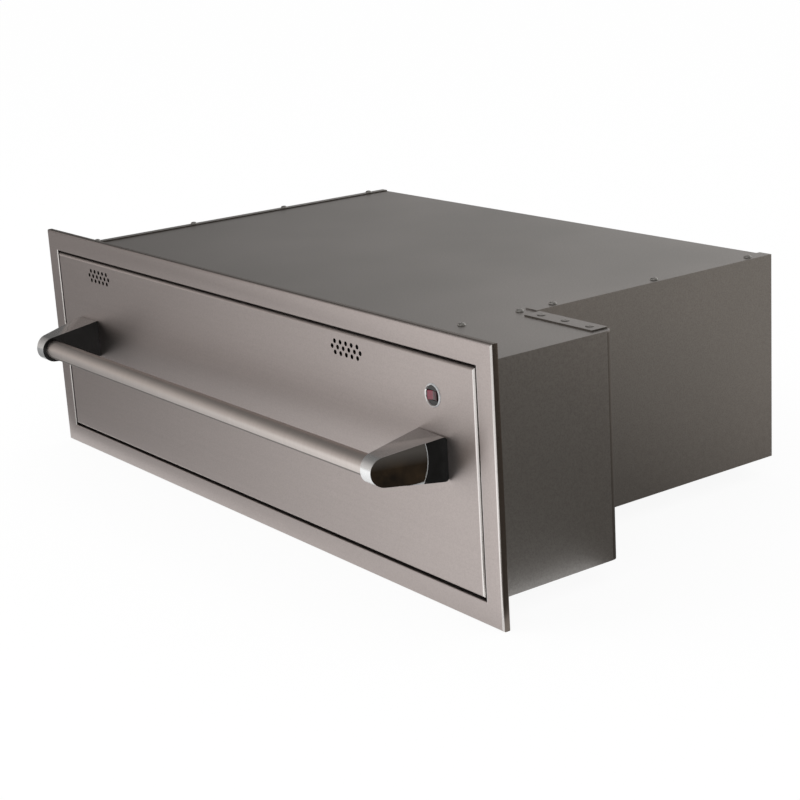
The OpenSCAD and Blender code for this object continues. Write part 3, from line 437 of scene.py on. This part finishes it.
def buildPost(name, side):
    lo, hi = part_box("handle_post_" + name)
    base, reach = hi.y, hi.y - barMiddle.y
    footTop, footBottom = hi.z - barMiddle.z, barMiddle.z - lo.z
    r, cut, corner = inMetres(postLook, "noseRadius", "cheekDepth", "footCorner")
    shift, width, wedgeReach = inMetres(postLook, "noseShift", "noseWidth", "wedgeReach")
    noseFront = barMiddle.y - r
    footIn, footOut = (lo.x, hi.x) if side > 0 else (-hi.x, -lo.x)
    noseIn, noseOut = footIn + shift, footIn + shift + width
    verts, faces, marks = [], [], []
    onSteel, onCheek, onRim, onBlack = range(4)

    def point(p, outer, depth=0.0):
        # p is (forward of the drawer front, up from the bar), depth is cut into the cheek
        share = p[0] / (base - noseFront)
        x = footOut + (noseOut - footOut) * share - depth if outer else footIn + (noseIn - footIn) * share
        verts.append((side * x, base - p[0], barMiddle.z + p[1]))
        return len(verts) - 1

    def face(corners, mark):
        faces.append(tuple(corners))
        marks.append(mark)

    # side outline: tangents from the foot's corners to the nose
    leans = [math.degrees(math.atan2(h, -reach) - math.acos(r / math.hypot(reach, h)))
             for h in (footTop, footBottom)]
    nose = arcPoints((reach, 0), r, leans[0], -leans[1], postLook["noseSteps"])

    def topAt(f):
        return footTop + (nose[0][1] - footTop) * f / nose[0][0]

    def bottomAt(f):
        return -footBottom + (nose[-1][1] + footBottom) * f / nose[-1][0]

    turns = [math.radians(90 * i / postLook["cornerSteps"]) for i in range(postLook["cornerSteps"] + 1)]
    topCorner = [(corner - corner * math.cos(a), topAt(corner) - corner + corner * math.sin(a))
                 for a in turns]
    bottomCorner = [(corner - corner * math.cos(a), bottomAt(corner) + corner - corner * math.sin(a))
                    for a in turns]
    top, mid, bottom = inMetres(postLook, "shoulderTop", "shoulderMid", "shoulderBottom")
    middle = (topAt(mid) + bottomAt(mid)) / 2
    shoulder = []
    for i in range(postLook["shoulderSteps"] + 1):
        u = 1 - 2 * i / postLook["shoulderSteps"]
        f = mid + (top - bottom) / 2 * u + ((top + bottom) / 2 - mid) * u * u
        shoulder.append((f, middle + (topAt(top) - middle if u > 0 else middle - bottomAt(bottom)) * u))
    # the cheek's lower corner is round, and leaves a wedge below it with the rim's painted highlight
    split, wedgeSteps = postLook["wedgeStart"], postLook["wedgeSteps"]
    start = shoulder[split]
    rise = start[1] - bottomAt(start[0])
    curve = []
    for i in range(1, wedgeSteps + 1):
        f = start[0] + (wedgeReach - start[0]) * i / wedgeSteps
        curve.append((f, bottomAt(f) + rise * (1 - i / wedgeSteps) ** 2))

    inFoot = [point((0, footTop), False), point((0, -footBottom), False)]
    inNose = [point(p, False) for p in nose]
    face([inFoot[1], inFoot[0]] + inNose, onBlack)
    topArc = [point(p, True) for p in topCorner]
    bottomArc = [point(p, True) for p in bottomCorner]
    step = [point(p, True) for p in shoulder]
    face(bottomArc[::-1] + topArc + step, onBlack)
    rim = step[:split + 1] + [point(p, True) for p in curve]
    rimIn = [point(p, True, cut) for p in shoulder[:split + 1] + curve]
    outNose = [point(p, True, cut) for p in nose]
    face(rim[split:] + step[:split:-1], onRim)
    face(rimIn[::-1] + outNose, onCheek)
    for i in range(len(rim) - 1):
        face((rim[i], rimIn[i], rimIn[i + 1], rim[i + 1]), onRim)
    # top, bottom and nose
    for arc, foot in ((topArc, inFoot[0]), (bottomArc, inFoot[1])):
        for i in range(len(arc) - 1):
            face((foot, arc[i], arc[i + 1]), onSteel)
    face((inFoot[0], topArc[-1], step[0], rimIn[0], outNose[0], inNose[0]), onSteel)
    face((inFoot[1], inNose[-1], outNose[-1], rimIn[-1], rim[-1], step[-1], bottomArc[-1]), onSteel)
    for i in range(len(nose) - 1):
        face((inNose[i], outNose[i], outNose[i + 1], inNose[i + 1]), onSteel)
    face((inFoot[0], inFoot[1], bottomArc[0], topArc[0]), onSteel)
    piece = makePiece("handle_post_cast_" + name, verts, faces, "drawer",
                      [finish["satinPostSteel"], finish["darkCheekPaintedReflection"], finish["rimPaintedHighlight"],
                       finish["blackGlossSide"]], marks, postLook["smooth"])
    roundEdges(piece, postLook["edge"] * mm, postLook["edgeAngle"])
    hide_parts("handle_post_" + name)


buildPost("left", -1)
buildPost("right", 1)
print("trim and posts built")


# Rivets: domed ones, and flat ones on the control box's flange

# shank and crown are shares of the head's radius, and the most values are shares of its height
# the edges' points are shares of (radius, height)
rivetLook = {"apart": 10.5, "grip": 3.0, "shank": 0.44, "flange": 0.6, "flangeMost": 0.5, "crown": 0.94,
             "dimple": 0.9, "dimpleDepth": 0.4, "dimpleMost": 0.4, "flatBelow": 1.5,
             "flangeEdge": ((0.97, 0.0), (1.0, 0.3), (1.0, 0.7), (0.96, 1.0)),
             "dimpleEdge": ((1.0, 0.0), (0.7, 0.5), (0.35, 1.0), (0.0, 1.0)), "domeSteps": 12, "sides": 32}


def islandBoxes(name, reach):
    # the boxes of a node's separate solids, told apart by their distance
    found = []
    for v in nodes[name].data.vertices:
        for first, lo, hi in found:
            if (first - v.co.xy).length < reach:
                for i in range(3):
                    lo[i], hi[i] = min(lo[i], v.co[i]), max(hi[i], v.co[i])
                break
        else:
            found.append((v.co.xy.copy(), v.co.copy(), v.co.copy()))
    return [(lo, hi) for _, lo, hi in found]


def rivetProfile(headR, headH):
    # shank, flange, dome and the mandrel's dimple
    grip, flange, dimple, depth = inMetres(rivetLook, "grip", "flange", "dimple", "dimpleDepth")
    flange = min(flange, headH * rivetLook["flangeMost"])
    depth = min(depth, headH * rivetLook["dimpleMost"])
    shank, crown = headR * rivetLook["shank"], headR * rivetLook["crown"]
    profile = [(0, -grip), (shank, -grip), (shank, 0)]
    profile += [(headR * across, flange * up) for across, up in rivetLook["flangeEdge"]]
    for i in range(1, rivetLook["domeSteps"]):
        a = math.radians(90 * i / rivetLook["domeSteps"])
        profile.append((dimple + (crown - dimple) * math.cos(a), flange + (headH - flange) * math.sin(a)))
    profile += [(dimple * across, headH - depth * down) for across, down in rivetLook["dimpleEdge"]]
    return profile


def buildRivets():
    verts, faces, marks = [], [], []
    for lo, hi in islandBoxes("pop_rivets", rivetLook["apart"] * mm):
        seat = lo.z + rivetLook["grip"] * mm
        headH = hi.z - seat
        place = ((lo.x + hi.x) / 2, (lo.y + hi.y) / 2, seat)
        more = turned(rivetProfile((hi.x - lo.x) / 2, headH), place, "z", rivetLook["sides"])
        marks += [1 if headH < rivetLook["flatBelow"] * mm else 0] * len(more[1])
        addTo(verts, faces, more)
    piece = makePiece("rivet_heads", verts, faces, "casing",
                      [finish["rivetSteel"], finish["casingSteel"]], marks)
    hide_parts("pop_rivets")


buildRivets()


# Handle bar: a brushed tube

# painted shade: a dark strip on the tube's underside, in degrees up from the front
barLook = {"chamfer": 0.8, "sides": 96, "rings": 12, "paintedShadeBand": (-66, -29)}


def buildBar():
    r, length = (barHi.z - barLo.z) / 2, barHi.x - barLo.x
    chamfer, rings = barLook["chamfer"] * mm, barLook["rings"]
    profile = [(0, 0), (r - chamfer, 0), (r, chamfer)]
    profile += [(r, length * i / rings) for i in range(1, rings)]
    profile += [(r, length - chamfer), (r - chamfer, length), (0, length)]
    start = Vector((barLo.x, barMiddle.y, barMiddle.z))
    verts, faces = turned(profile, start, "x", barLook["sides"])
    marks = []
    for f in faces:
        middle = sum((Vector(verts[i]) for i in f), Vector()) / len(f) - start
        up = math.degrees(math.atan2(middle.z, -middle.y))
        marks.append(1 if barLook["paintedShadeBand"][0] < up < barLook["paintedShadeBand"][1] else 0)
    piece = makePiece("handle_bar_tube", verts, faces, "drawer",
                      [finish["brushedBarSteel"], finish["barUndersidePaintedShade"]], marks)
    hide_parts("handle_bar")


buildBar()
print("rivets and bar built")


# Folded sheets: the nodes' own meshes, each face with a finish by the way it points, which paints shade on
# sides, bends and edges and a highlight on side bends

def dressedCopy(name, newName, materials, choose):
    mesh = nodes[name].data.copy()
    mesh.materials.clear()
    for material in materials:
        mesh.materials.append(finish[material])
    for polygon in mesh.polygons:
        polygon.material_index = choose(polygon.normal, polygon.center)
    piece = addObject(newName, mesh)
    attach(piece, bodyOf[name])
    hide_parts(name)
    return piece


# limits for a part of a face's normal, and how far in mm a flange's edge stands over the top panel
sheetLook = {"bend": 0.08, "sideBend": 0.3, "level": 0.05, "side": 0.9, "wall": 0.3, "wallBend": 0.02,
             "flangeOver": 0.1}
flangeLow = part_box("top_panel")[1].z + sheetLook["flangeOver"] * mm


def chooseSkin(normal, centre):
    # 0 face, 1 side bends with a painted highlight, 2 sides with painted shade, 3 top bend
    forward = normal.y < -sheetLook["bend"]
    if forward and abs(normal.x) > sheetLook["sideBend"] and abs(normal.z) < sheetLook["level"]:
        return 1
    if forward and normal.z > sheetLook["bend"]:
        return 3
    return 2 if abs(normal.x) > sheetLook["side"] else 0


def chooseFlange(normal, centre):
    # 0 sheet, 1 the flanges' edges on the casing's top, with painted shade, 2 the corner bend, with painted
    # shade
    upright = abs(normal.z) < sheetLook["wall"]
    if upright and centre.z > flangeLow:
        return 1
    return 2 if upright and min(normal.x, normal.y) > sheetLook["wallBend"] else 0


dressedCopy("front_skin", "drawer_front_sheet",
            ["brushedFrontSteel", "paintedHighlightEdge", "returnPaintedShadeSteel", "topEdgeSteel"],
            chooseSkin)
for name, newName, slot in (("left_wall", "left_wall_sheet", "casing_steel"),
                            ("rear_wall", "rear_wall_sheet", "casing_steel"),
                            ("side_box_wall", "control_box_sheet", "side_steel")):
    dressedCopy(name, newName, ["casingSteel", "flangeEdgePaintedShade", "casingBendPaintedShade"], chooseFlange)


# Power switch: a ring with a painted highlight outside and a polished inner slope, a black body set back in
# it, a red rocker

switchLook = {"foot": 0.04, "crest": 1.4, "crestIn": 1.35, "crestOut": 0.25, "crestOutDrop": 0.06,
              "crestBack": 0.2, "crestBackDrop": 0.08, "lipIn": 0.3, "lip": 0.25, "sides": 72, "smooth": 50,
              "bodyDrop": 0.9}


def chooseFirst(normal, centre):
    return 0


def buildSwitch():
    lo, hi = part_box("switch_ring")
    bodyLo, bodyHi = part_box("switch_housing")
    foot, crest, lip, lipIn, bodyDrop = inMetres(switchLook, "foot", "crest", "lip", "lipIn", "bodyDrop")
    crestIn, crestOut, outDrop = inMetres(switchLook, "crestIn", "crestOut", "crestOutDrop")
    crestBack, backDrop = inMetres(switchLook, "crestBack", "crestBackDrop")
    outer, inner = (hi.x - lo.x) / 2, (bodyHi.x - bodyLo.x) / 2 - lipIn
    top = inner + crestIn
    # a cone outside, a polished slope inside, and a rounded crest between them
    profile = [(inner, 0), (outer, 0), (outer, foot), (top + crestOut, crest - outDrop), (top, crest),
               (top - crestBack, crest - backDrop), (inner, lip)]
    marks = [0, 0, 0, 0, 1, 1, 1] * switchLook["sides"]     # polished from the crest in
    verts, faces = turned(profile, ((lo.x + hi.x) / 2, hi.y, (lo.z + hi.z) / 2), "-y", switchLook["sides"])
    ring = makePiece("switch_bezel", verts, faces, "drawer",
                     [finish["rimPaintedHighlight"], finish["polishedChrome"]], marks, switchLook["smooth"])
    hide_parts("switch_ring")
    body = dressedCopy("switch_housing", "switch_body", ["blackMoulding"], chooseFirst)
    for v in body.data.vertices:
        v.co.y = max(v.co.y, bodyLo.y + bodyDrop)


buildSwitch()

# lean is the angle at rest, with the right half pressed in, and split is where its shade begins
# bellyShares are shares of (half, belly)
rockerLook = {"pivot": 2.4, "half": 6.2, "high": 4.7, "tip": 1.9, "dip": 0.2, "belly": 2.2, "lean": 8,
              "bellyShares": ((0.9, 0.0), (0.4, 0.8), (0.0, 1.0), (-0.4, 0.8), (-0.9, 0.0)), "split": 0.2,
              "pinRadius": 1.0, "pinReach": 1.6, "pinSides": 24, "steps": 8, "edge": 0.45, "edgeAngle": 50}


def buildRocker():
    bodyLo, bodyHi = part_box("switch_housing")
    cx, cz = (bodyLo.x + bodyHi.x) / 2, (bodyLo.z + bodyHi.z) / 2
    pivot, half, high, belly, split = inMetres(rockerLook, "pivot", "half", "high", "belly", "split")
    tip, dip, pinRadius, pinReach = inMetres(rockerLook, "tip", "dip", "pinRadius", "pinReach")
    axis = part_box("front_skin")[0].y + pivot
    tip, dip = tip + pivot, dip + pivot
    # dished top in a shallow V, seen from above, before it leans
    shares = [i / rockerLook["steps"] for i in range(1, rockerLook["steps"])]
    outline = [(-half, -tip)]
    outline += [(-half + half * s, -tip + (tip - dip) * math.sin(math.radians(90 * s))) for s in shares]
    outline += [(0, -dip)]
    outline += [(half * s, -dip - (tip - dip) * (1 - math.cos(math.radians(90 * s)))) for s in shares]
    outline += [(half, -tip)]
    outline += [(half * across, belly * back) for across, back in rockerLook["bellyShares"]]
    turn = Matrix.Rotation(math.radians(rockerLook["lean"]), 3, "Z")
    verts, n = [], len(outline)
    for z in (cz - high, cz + high):
        for x, y in outline:
            p = turn @ Vector((x, y, 0))
            verts.append((cx + p.x, axis + p.y, z))
    faces = [tuple(range(n)), tuple(range(n, 2 * n))]
    faces += [(i, (i + 1) % n, n + (i + 1) % n, n + i) for i in range(n)]
    pinHalf = high + pinReach
    pin = [(0, 0), (pinRadius, 0), (pinRadius, pinHalf * 2), (0, pinHalf * 2)]
    addTo(verts, faces, turned(pin, (cx, axis, cz - pinHalf), "z", rockerLook["pinSides"]))
    marks = [1 if sum(verts[i][0] for i in f) / len(f) > cx + split and len(f) == 4 else 0 for f in faces]
    piece = makePiece("switch_rocker_cap", verts, faces, "rocker",
                      [finish["redRocker"], finish["shadedRocker"]], marks)
    roundEdges(piece, rockerLook["edge"] * mm, rockerLook["edgeAngle"])
    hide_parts("switch_rocker")


buildRocker()


# Drawer pan: one pressed tub with round corners and a turned rim

panLook = {"sheet": 1.2, "corner": 14.0, "leastCorner": 0.5, "bottomBend": 7.0, "rimBend": 2.0,
           "rimStart": 0.6, "edgeIn": 0.48, "edgeDown": 0.36, "edgeOut": 0.2,
           "bendTurns": (0, 30, 60, 90), "cornerSteps": 6, "smooth": 50}


def roundedRing(x0, x1, y0, y1, r, z):
    points = []
    for i, centre in enumerate(((x1 - r, y1 - r), (x0 + r, y1 - r), (x0 + r, y0 + r), (x1 - r, y0 + r))):
        points += [(x, y, z) for x, y in arcPoints(centre, r, 90 * i, 90 * i + 90, panLook["cornerSteps"])]
    return points


def buildPan():
    floorLo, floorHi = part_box("pan_bottom")
    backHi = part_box("pan_back_wall")[1]
    x0, x1, y0, y1 = floorLo.x, floorHi.x, floorLo.y, floorHi.y
    rim, top, low = backHi.y - y1, backHi.z, floorLo.z
    t, corner, leastCorner, bend = inMetres(panLook, "sheet", "corner", "leastCorner", "bottomBend")
    roll, rimStart = inMetres(panLook, "rimBend", "rimStart")
    edgeIn, edgeDown, edgeOut = inMetres(panLook, "edgeIn", "edgeDown", "edgeOut")
    rings = []

    def ring(inset, z, flare=0.0):
        # flare turns the rim out at the sides and the back, not at the front
        rings.append(roundedRing(x0 + inset - flare, x1 - inset + flare, y0 + inset, y1 - inset + flare,
                                 max(corner - inset + flare, leastCorner), z))

    def bendRing(inset, radius, turn):
        ring(inset + radius - radius * math.cos(math.radians(turn)),
             low + bend - radius * math.sin(math.radians(turn)))

    for turn in reversed(panLook["bendTurns"]):     # outside, from the bottom's edge up
        bendRing(0, bend, turn)
    ring(0, top - t - roll)
    ring(0, top - t, rimStart)
    ring(0, top - t, rim)
    ring(0, top, rim)
    ring(0, top, rimStart)
    ring(edgeIn, top - edgeDown, edgeOut)
    ring(t, top - roll)
    for turn in panLook["bendTurns"]:               # inside, down to the bottom
        bendRing(t, bend - t, turn)
    verts = [p for r in rings for p in r]
    n = len(rings[0])
    last = len(verts) - n
    faces = [tuple(range(n))[::-1], tuple(range(last, last + n))]
    for i in range(0, last, n):
        faces += [(i + k, i + (k + 1) % n, i + n + (k + 1) % n, i + n + k) for k in range(n)]
    piece = makePiece("pan_tub", verts, faces, "drawer", [finish["linerSteel"]], None, panLook["smooth"])
    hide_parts("pan_bottom", "pan_front_wall", "pan_back_wall", "pan_left_wall", "pan_right_wall")


buildPan()
print("sheets, switch and pan built")


# CAD nodes and their finishes, also those that a piece above stands for

nodeFinish = {
    "casingSteel": "top_panel bottom_panel left_wall right_wall rear_wall side_box_wall",
    "linerSteel": "liner front_bulkhead control_cover front_inner_panel "
                  "pan_bottom pan_front_wall pan_back_wall pan_left_wall pan_right_wall",
    "brushedFrontSteel": "trim_frame front_skin",
    "brushedBarSteel": "handle_bar",
    "satinPostSteel": "handle_post_left handle_post_right",
    "polishedChrome": "switch_ring",
    "rivetSteel": "pop_rivets",
    "zincPlatedFastener": "cover_screws handle_screws pan_screws element_terminals",
    "slideZinc": "slide_outer_left slide_outer_right slide_mid_left slide_mid_right "
                 "slide_inner_left slide_inner_right cover_nuts handle_backers element_clips",
    "ballCageZinc": "cage_outer_left cage_outer_right cage_inner_left cage_inner_right",
    "turnedBrass": "element_bushings earth_stud",
    "heatedSheath": "heating_element",
    "mineralWool": "insulation_top insulation_bottom insulation_left insulation_right insulation_back "
                   "front_insulation",
    "blackMoulding": "switch_housing snap_thermostat cord_gland",
    "paleMoulding": "terminal_block",
    "redRocker": "switch_rocker",
    "sealingRubber": "front_gasket",
}
for finishName, nodeNames in nodeFinish.items():
    for nodeName in nodeNames.split():
        mesh = nodes[nodeName].data
        if not mesh.materials:
            mesh.materials.append(finish[finishName])
        for i in range(len(mesh.materials)):
            mesh.materials[i] = finish[finishName]
print("nodes finished")


# Stage

stageLook = {"floorSize": 14.0, "floorShade": (0.96, 0.96, 0.96, 1), "floorRough": 0.9, "floorWhite": 0.92,
             "worldLight": 0.95}
white = (1, 1, 1, 1)


def seenDirectly(tree):
    # 1 for what the camera sees, also in metal and through glass
    path = tree.nodes.new("ShaderNodeLightPath")
    value = path.outputs["Is Camera Ray"]
    for kind in ("Is Glossy Ray", "Is Transmission Ray"):
        value = combined(tree, value, path.outputs[kind], "MAXIMUM")
    return value


def buildFloor():
    size, z = stageLook["floorSize"], cadBox[0][2]
    mesh = bpy.data.meshes.new("floorSheet")
    corners = [(-size, -size, z), (size, -size, z), (size, size, z), (-size, size, z)]
    mesh.from_pydata(corners, [], [(0, 1, 2, 3)])
    floor = addObject("floorSheet", mesh)
    material, tree, shader = newMaterial("paleFloor", {
        "Roughness": stageLook["floorRough"], "Base Color": stageLook["floorShade"],
        "Specular IOR Level": 0.0})
    glow = tree.nodes.new("ShaderNodeEmission")
    glow.inputs["Color"].default_value = white
    mix = tree.nodes.new("ShaderNodeMixShader")
    tree.links.new(combined(tree, seenDirectly(tree), stageLook["floorWhite"], "MULTIPLY"), mix.inputs[0])
    tree.links.new(shader.outputs[0], mix.inputs[1])
    tree.links.new(glow.outputs[0], mix.inputs[2])
    tree.links.new(mix.outputs[0], tree.nodes["Material Output"].inputs["Surface"])
    mesh.materials.append(material)


def buildWorld():
    world = bpy.data.worlds.new("paleStudio")
    scene.world = world
    world.use_nodes = True
    tree = world.node_tree
    back = tree.nodes["Background"]
    back.inputs["Color"].default_value = white
    strength = ranged(tree, seenDirectly(tree), whole, (stageLook["worldLight"], 1.0))
    tree.links.new(strength, back.inputs["Strength"])


# cards that show only in reflections: corners, tint, the shade at each end of a span, the line along
# which it changes and, where the change is curved, its power
# overFloor is just above the floor, and foot is where upright cards start

cardHeights = {"overFloor": -0.0225, "foot": -0.02, "ceiling": 4.0}


def levelCard(height, *corners):
    return [(x, y, cardHeights[height]) for x, y in corners]


def uprightCard(start, end):
    foot, top = cardHeights["foot"], cardHeights["ceiling"]
    return [(*start, foot), (*end, foot), (*end, top), (*start, top)]


cards = {
    "cardRight": {"tint": (1.0, 0.93, 0.86), "shades": (0.17, 0.50), "along": (-0.3, 1, 0),
                  "span": (0.25, 0.75),
                  "corners": levelCard("overFloor", (0.487, -0.16), (3.9, -0.16), (3.9, 4.5), (-0.6, 4.5),
                                       (-0.6, 0.17), (0.487, 0.17))},
    "cardFront": {"tint": (1.0, 1.0, 1.0), "shades": (0.25, 1.42), "along": (1, -1.6, 0),
                  "span": (-0.66, 0.66), "power": 1.6,
                  "corners": levelCard("overFloor", (-4.9, -1.9), (0.5, -1.9), (0.5, -0.03), (-4.9, -0.03))},
    "cardBack": {"tint": (1.0, 0.97, 0.95), "shades": (0.14, 0.63), "along": (1, 0, 0), "span": (-4.4, -2.5),
                 "corners": uprightCard((-5.0, 0.8), (-0.5, 5.6))},
    "cardLeft": {"tint": (1.0, 0.95, 0.92), "shades": (0.82, 0.22), "along": (0, 1, 0.8),
                 "span": (-3.8, 3.0),
                 "corners": uprightCard((-5.0, -9.0), (-5.0, 0.8))},
    "cardFarRight": {"tint": (1.0, 0.95, 0.9), "shades": (0.15, 0.25), "along": (0, 1, 0),
                     "span": (0.0, 6.0),
                     "corners": uprightCard((4.0, -4.0), (4.0, 9.0))},
    "cardCeiling": {"tint": (1.0, 0.98, 0.96), "shades": (0.22, 0.5), "along": (1, 0, 0),
                    "span": (-3.0, 3.0),
                    "corners": levelCard("ceiling", (-5.0, -9.0), (5.0, -9.0), (5.0, 5.6), (-5.0, 5.6))},
}


def buildCard(name, card):
    mesh = bpy.data.meshes.new(name)
    mesh.from_pydata(card["corners"], [], [tuple(range(len(card["corners"])))])
    piece = addObject(name, mesh)
    material, tree, shader = newMaterial(name, {})
    tree.nodes.remove(shader)
    glow = tree.nodes.new("ShaderNodeEmission")
    glow.inputs["Color"].default_value = (*card["tint"], 1)
    along = tree.nodes.new("ShaderNodeVectorMath")
    along.operation = "DOT_PRODUCT"
    along.inputs[1].default_value = card["along"]
    tree.links.new(placeOn(tree), along.inputs[0])
    share = ranged(tree, along.outputs["Value"], card["span"], whole)
    curved = combined(tree, share, card.get("power", 1.0), "POWER")
    tree.links.new(ranged(tree, curved, whole, card["shades"]), glow.inputs["Strength"])
    tree.links.new(glow.outputs[0], tree.nodes["Material Output"].inputs["Surface"])
    mesh.materials.append(material)
    piece.visible_camera = False
    piece.visible_diffuse = False
    piece.visible_shadow = False
    piece.visible_transmission = False


lamps = {
    "keyLamp": {"place": (-1.6, -2.2, 2.6), "aim": (0, 0.1, 0.1), "size": 2.2, "watts": 30},
    "fillLamp": {"place": (2.6, -1.2, 1.8), "aim": (0, 0.1, 0.1), "size": 1.8, "watts": 8},
}


def buildLamp(name, lamp):
    light = bpy.data.lights.new(name, "AREA")
    light.shape = "SQUARE"
    light.size = lamp["size"]
    light.energy = lamp["watts"]
    piece = addObject(name, light)
    piece.location = lamp["place"]
    piece.rotation_euler = (Vector(lamp["aim"]) - Vector(lamp["place"])).to_track_quat("-Z", "Y").to_euler()
    piece.visible_glossy = False


# the camera as fitted to the object's edges in the photo, turned in degrees
cameraLook = {"place": (1.72885, -1.02898, 0.68183), "turn": (73.9873, 3.3186, 53.3487), "sensor": 36,
              "lens": 82.49, "clipEnd": 50}


def buildCamera():
    cameraData = bpy.data.cameras.new("photoCamera")
    cameraData.sensor_width = cameraLook["sensor"]
    cameraData.lens = cameraLook["lens"]
    cameraData.clip_end = cameraLook["clipEnd"]
    camera = addObject("photoCamera", cameraData)
    camera.location = cameraLook["place"]
    camera.rotation_euler = [math.radians(a) for a in cameraLook["turn"]]
    scene.camera = camera


buildFloor()
buildWorld()
for cardName, card in cards.items():
    buildCard(cardName, card)
for lampName, lamp in lamps.items():
    buildLamp(lampName, lamp)
buildCamera()
scene.view_settings.view_transform = "Standard"
print("stage ready")
